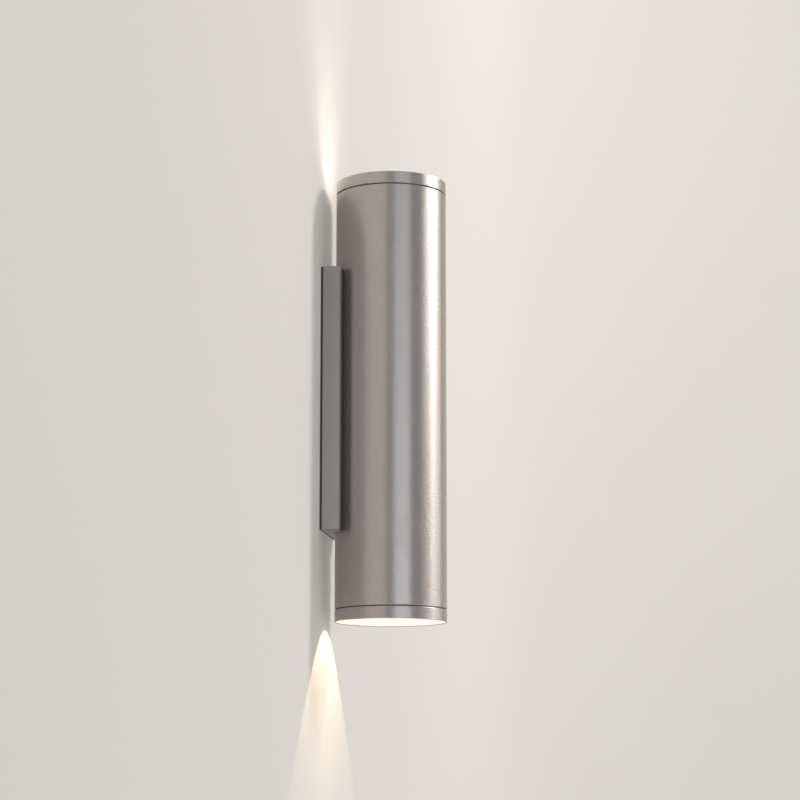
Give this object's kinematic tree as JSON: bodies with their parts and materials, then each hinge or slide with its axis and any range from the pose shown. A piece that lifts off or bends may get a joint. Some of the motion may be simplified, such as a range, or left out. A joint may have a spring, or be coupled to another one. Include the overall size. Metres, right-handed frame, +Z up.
{
  "type": "tube wall light",
  "caption": "Upright brushed steel tube on a slim back box, with a frosted lens in a screw ring at each end and a twist-lock lamp behind each lens, lighting the wall up and down.",
  "frame": {"origin": "middle of the wall-screw pattern, on the wall plane", "axes": "+Y into the wall, +Z up along the tube, +X to the right as seen from the room"},
  "size_m": [0.075, 0.081, 0.3],
  "materials": {
    "brushed_steel": "brushed round the tube, nickel tone, satin",
    "frosted_glass": "frosted white, lit from behind",
    "clear_silicone": "translucent silicone",
    "black_rubber": "matt",
    "gasket_foam": "closed-cell foam",
    "zinc_plate": "zinc plated sheet",
    "ceramic": "unglazed white ceramic",
    "brass": "plain",
    "screw_steel": "zinc plated",
    "pin_metal": "nickel plated brass",
    "lamp_white": "white moulding",
    "lamp_optic": "clear lens plate, lit",
    "terminal_white": "white polyamide",
    "lead_white": "silicone insulated",
    "lead_earth": "green and yellow insulation"
  },
  "bodies": {
    "fixture": {"wall_bracket": "zinc_plate", "wall_gasket": "gasket_foam", "back_box": "brushed_steel", "tube_body": "brushed_steel", "cable_grommet": "black_rubber", "terminal_block": "terminal_white", "terminal_screws": "brass", "earth_lug": "pin_metal", "earth_washer": "screw_steel", "earth_screw": "brass", "block_screws": "screw_steel", "cover_screws": "screw_steel", "tube_screws": "screw_steel", "upper_lamp_leads": "lead_white", "lower_lamp_leads": "lead_white", "earth_lead": "lead_earth", "upper_lamp_bracket": "zinc_plate", "upper_lamp_holder": "ceramic", "upper_holder_contacts": "brass", "upper_holder_screws": "screw_steel", "lower_lamp_bracket": "zinc_plate", "lower_lamp_holder": "ceramic", "lower_holder_contacts": "brass", "lower_holder_screws": "screw_steel"},
    "upper_seal_carrier": {"upper_joint_seal": "black_rubber"},
    "upper_ring": {"upper_end_ring": "brushed_steel", "upper_lens": "frosted_glass", "upper_lens_seal": "clear_silicone"},
    "upper_lamp": {"upper_lamp_body": "lamp_white", "upper_lamp_optic": "lamp_optic", "upper_lamp_pins": "pin_metal"},
    "lower_seal_carrier": {"lower_joint_seal": "black_rubber"},
    "lower_ring": {"lower_end_ring": "brushed_steel", "lower_lens": "frosted_glass", "lower_lens_seal": "clear_silicone"},
    "lower_lamp": {"lower_lamp_body": "lamp_white", "lower_lamp_optic": "lamp_optic", "lower_lamp_pins": "pin_metal"}
  },
  "joints": [
    {"name": "upper_ring_travel", "type": "slide", "parent": "fixture", "child": "upper_seal_carrier", "axis": [0, 0, 1], "range_m": [0, 0.0075]},
    {"name": "upper_ring_turn", "type": "hinge", "parent": "upper_seal_carrier", "child": "upper_ring", "pos_m": [0, -0.0435, 0.152], "axis": [0, 0, 1], "range_deg": [0, 1800]},
    {"name": "upper_lamp_twist", "type": "hinge", "parent": "fixture", "child": "upper_lamp", "pos_m": [0, -0.0435, 0.0738], "axis": [0, 0, 1], "range_deg": [0, 20]},
    {"name": "lower_ring_travel", "type": "slide", "parent": "fixture", "child": "lower_seal_carrier", "axis": [0, 0, -1], "range_m": [0, 0.0075]},
    {"name": "lower_ring_turn", "type": "hinge", "parent": "lower_seal_carrier", "child": "lower_ring", "pos_m": [0, -0.0435, -0.148], "axis": [0, 0, -1], "range_deg": [0, 1800]},
    {"name": "lower_lamp_twist", "type": "hinge", "parent": "fixture", "child": "lower_lamp", "pos_m": [0, -0.0435, -0.0698], "axis": [0, 0, -1], "range_deg": [0, 20]}
  ],
  "couplings": [
    {"joint": "upper_ring_travel", "follows": "upper_ring_turn", "m_per_rad": 0.00023873},
    {"joint": "lower_ring_travel", "follows": "lower_ring_turn", "m_per_rad": 0.00023873}
  ]
}
